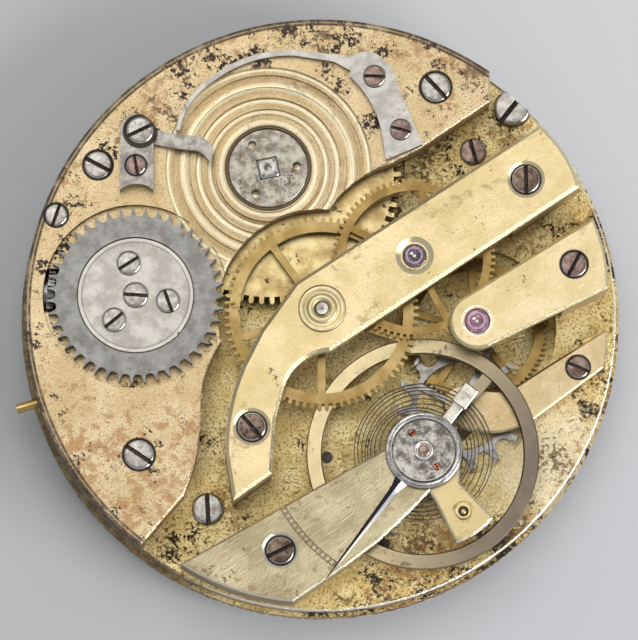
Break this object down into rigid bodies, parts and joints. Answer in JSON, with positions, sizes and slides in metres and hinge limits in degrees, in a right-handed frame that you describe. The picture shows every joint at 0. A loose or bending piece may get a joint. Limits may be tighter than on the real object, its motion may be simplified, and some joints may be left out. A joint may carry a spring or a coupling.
{
  "type": "pocket watch movement",
  "caption": "Open-face pocket watch movement with a cylinder escapement: gilt plate and bridges, going train, balance with hairspring, keyless winding work and an enamel dial below",
  "frame": {"origin": "Centre of the main plate, on its dial-side face, where the centre arbor passes through", "axes": "+Z rises from the dial side to the bridges; the stem leaves near -X at 175.7 degrees in plan; +Y is the picture's upward direction, barrel side"},
  "size_m": [0.0434, 0.043, 0.0091],
  "materials": {
    "main_plate": "gilt, grained, stained",
    "barrel_bridge": "gilt, grained, stained",
    "train_bridge": "gilt, grained, stained",
    "fourth_cock": "gilt, grained, stained",
    "escape_cock": "gilt, grained, stained",
    "balance_cock": "silvered gilt, scratched",
    "train_jewels": "polished ruby",
    "plate_jewels": "polished ruby",
    "fourth_jewel_setting": "satin gilt",
    "centre_bushing": "satin gilt",
    "steady_pins": "turned",
    "plate_studs": "turned",
    "hairspring": "tempered dark",
    "hairspring_stud": "turned",
    "endstone_cap": "grey, lightly rusted",
    "endstone": "polished ruby",
    "endstone_screws": "copper coloured",
    "crown_wheel_core": "grey, lightly rusted",
    "crown_wheel_cap": "grey, lightly rusted",
    "crown_cap_screws": "slotted, lightly rusted",
    "click_plate": "grey, lightly rusted",
    "click_screws": "slotted, lightly rusted",
    "click_spring": "grey, lightly rusted",
    "click_spring_screws": "slotted, lightly rusted",
    "yoke_spring": "tempered dark",
    "keyless_screws": "slotted, lightly rusted",
    "dial_copper": "copper",
    "dial_enamel": "vitreous enamel, chipped at the rim",
    "seconds_dial": "vitreous enamel, chipped at the rim",
    "bridge_screws": "slotted, lightly rusted",
    "cock_screws": "slotted, lightly rusted",
    "plate_screws": "slotted, lightly rusted",
    "barrel_drum": "stained",
    "barrel_cover": "stained",
    "mainspring": "tempered dark",
    "barrel_arbor": "polished",
    "ratchet_hub": "grey, lightly rusted",
    "centre_wheel": "satin gilt",
    "centre_pinion": "polished",
    "cannon_pinion": "polished",
    "third_wheel": "satin gilt",
    "third_pinion": "polished",
    "fourth_wheel": "satin gilt",
    "fourth_pinion": "polished",
    "escape_wheel": "polished",
    "escape_pinion": "polished",
    "balance_wheel": "satin, worn gilt",
    "balance_cylinder": "polished",
    "hairspring_collet": "turned",
    "regulator": "grey, lightly rusted",
    "crown_wheel": "grey, lightly rusted",
    "winding_pinion": "polished",
    "clutch_wheel": "polished",
    "yoke": "polished",
    "setting_pin": "turned",
    "minute_wheel": "satin gilt",
    "hour_wheel": "satin gilt",
    "intermediate_wheel": "polished",
    "setting_wheel": "polished",
    "click": "grey, lightly rusted"
  },
  "bodies": {
    "movement": {"main_plate": "main_plate", "barrel_bridge": "barrel_bridge", "train_bridge": "train_bridge", "fourth_cock": "fourth_cock", "escape_cock": "escape_cock", "balance_cock": "balance_cock", "train_jewels": "train_jewels", "plate_jewels": "plate_jewels", "fourth_jewel_setting": "fourth_jewel_setting", "centre_bushing": "centre_bushing", "steady_pins": "steady_pins", "plate_studs": "plate_studs", "hairspring": "hairspring", "hairspring_stud": "hairspring_stud", "endstone_cap": "endstone_cap", "endstone": "endstone", "endstone_screws": "endstone_screws", "crown_wheel_core": "crown_wheel_core", "crown_wheel_cap": "crown_wheel_cap", "crown_cap_screws": "crown_cap_screws", "click_plate": "click_plate", "click_screws": "click_screws", "click_spring": "click_spring", "click_spring_screws": "click_spring_screws", "yoke_spring": "yoke_spring", "keyless_screws": "keyless_screws", "dial_copper": "dial_copper", "dial_enamel": "dial_enamel", "seconds_dial": "seconds_dial", "bridge_screws": "bridge_screws", "cock_screws": "cock_screws", "plate_screws": "plate_screws"},
    "barrel": {"barrel_drum": "barrel_drum", "barrel_cover": "barrel_cover", "mainspring": "mainspring"},
    "winding_arbor": {"barrel_arbor": "barrel_arbor", "ratchet_hub": "ratchet_hub"},
    "centre": {"centre_wheel": "centre_wheel", "centre_pinion": "centre_pinion", "cannon_pinion": "cannon_pinion"},
    "third": {"third_wheel": "third_wheel", "third_pinion": "third_pinion"},
    "fourth": {"fourth_wheel": "fourth_wheel", "fourth_pinion": "fourth_pinion"},
    "escape": {"escape_wheel": "escape_wheel", "escape_pinion": "escape_pinion"},
    "balance": {"balance_wheel": "balance_wheel", "balance_cylinder": "balance_cylinder", "hairspring_collet": "hairspring_collet"},
    "regulator": {"regulator": "regulator"},
    "crown": {"crown_wheel": "crown_wheel"},
    "winding_pinion": {"winding_pinion": "winding_pinion"},
    "clutch": {"clutch_wheel": "clutch_wheel"},
    "yoke": {"yoke": "yoke"},
    "setting_pin": {"setting_pin": "setting_pin"},
    "minute": {"minute_wheel": "minute_wheel"},
    "hour": {"hour_wheel": "hour_wheel"},
    "intermediate": {"intermediate_wheel": "intermediate_wheel"},
    "setting": {"setting_wheel": "setting_wheel"},
    "click": {"click": "click"}
  },
  "joints": [
    {"name": "fourth_spin", "type": "hinge", "parent": "movement", "child": "fourth", "pos_m": [0.01104, -0.00083, 0.0017], "axis": [0, 0, 1], "continuous": true},
    {"name": "third_spin", "type": "hinge", "parent": "movement", "child": "third", "pos_m": [0.0066, 0.00385, 0.0048], "axis": [0, 0, 1], "continuous": true},
    {"name": "centre_spin", "type": "hinge", "parent": "movement", "child": "centre", "pos_m": [0, 0, 0.0043], "axis": [0, 0, 1], "continuous": true},
    {"name": "barrel_spin", "type": "hinge", "parent": "movement", "child": "barrel", "pos_m": [-0.00382, 0.01031, 0.0031], "axis": [0, 0, 1], "continuous": true},
    {"name": "escape_spin", "type": "hinge", "parent": "movement", "child": "escape", "pos_m": [0.01007, -0.00643, 0.0021], "axis": [0, 0, 1], "continuous": true},
    {"name": "minute_spin", "type": "hinge", "parent": "movement", "child": "minute", "pos_m": [-0.00271, -0.00271, 0.0013], "axis": [0, 0, 1], "continuous": true},
    {"name": "hour_spin", "type": "hinge", "parent": "movement", "child": "hour", "pos_m": [0, 0, 0.0005], "axis": [0, 0, 1], "continuous": true},
    {"name": "intermediate_spin", "type": "hinge", "parent": "movement", "child": "intermediate", "pos_m": [-0.00919, -0.00245, 0.0013], "axis": [0, 0, 1], "continuous": true},
    {"name": "setting_spin", "type": "hinge", "parent": "movement", "child": "setting", "pos_m": [-0.01368, 0.00103, 0.0013], "axis": [0, 0, 1], "continuous": true},
    {"name": "winding_arbor_spin", "type": "hinge", "parent": "movement", "child": "winding_arbor", "pos_m": [-0.00382, 0.01031, 0.0047], "axis": [0, 0, 1], "continuous": true, "deforming": ["mainspring"]},
    {"name": "crown_spin", "type": "hinge", "parent": "movement", "child": "crown", "pos_m": [-0.01326, 0.001, 0.0053], "axis": [0, 0, 1], "continuous": true},
    {"name": "winding_pinion_spin", "type": "hinge", "parent": "movement", "child": "winding_pinion", "pos_m": [-0.01925, 0.00145, 0.00295], "axis": [-0.9972, 0.075, 0], "continuous": true},
    {"name": "balance_swing", "type": "hinge", "parent": "movement", "child": "balance", "pos_m": [0.00723, -0.01008, 0.0037], "axis": [0, 0, 1], "range_deg": [-100, 100], "stiffness_Nm_per_rad": 0.0000034, "deforming": ["hairspring"]},
    {"name": "regulator_turn", "type": "hinge", "parent": "movement", "child": "regulator", "pos_m": [0.00723, -0.01008, 0.0056], "axis": [0, 0, 1], "range_deg": [-18, 18], "deforming": ["hairspring"]},
    {"name": "click_turn", "type": "hinge", "parent": "movement", "child": "click", "pos_m": [-0.01299, 0.01276, 0.0056], "axis": [0, 0, 1], "range_deg": [0, 58], "stiffness_Nm_per_rad": 0.000008, "deforming": ["click_spring"]},
    {"name": "yoke_turn", "type": "hinge", "parent": "movement", "child": "yoke", "pos_m": [-0.0166, 0.0063, 0.0007], "axis": [0, 0, 1], "range_deg": [0, 5], "stiffness_Nm_per_rad": 0.0001, "deforming": ["yoke_spring"]},
    {"name": "clutch_slide", "type": "slide", "parent": "movement", "child": "clutch", "axis": [-0.9972, 0.075, 0], "range_m": [-0.000443, 0]},
    {"name": "setting_pin_slide", "type": "slide", "parent": "movement", "child": "setting_pin", "axis": [-0.9583, -0.2857, 0], "range_m": [-0.000903, 0]}
  ],
  "couplings": [
    {"joint": "third_spin", "follows": "fourth_spin", "ratio": -0.13333},
    {"joint": "centre_spin", "follows": "fourth_spin", "ratio": 0.016667},
    {"joint": "barrel_spin", "follows": "fourth_spin", "ratio": -0.0029915},
    {"joint": "escape_spin", "follows": "fourth_spin", "ratio": -10},
    {"joint": "minute_spin", "follows": "fourth_spin", "ratio": -0.0055556},
    {"joint": "hour_spin", "follows": "fourth_spin", "ratio": 0.0013889},
    {"joint": "intermediate_spin", "follows": "fourth_spin", "ratio": 0.0044444},
    {"joint": "setting_spin", "follows": "fourth_spin", "ratio": -0.0076923},
    {"joint": "winding_pinion_spin", "follows": "crown_spin", "ratio": -2.6875},
    {"joint": "clutch_slide", "follows": "setting_pin_slide", "ratio": 0.46731},
    {"joint": "yoke_turn", "follows": "setting_pin_slide", "rad_per_m": -92.765}
  ]
}
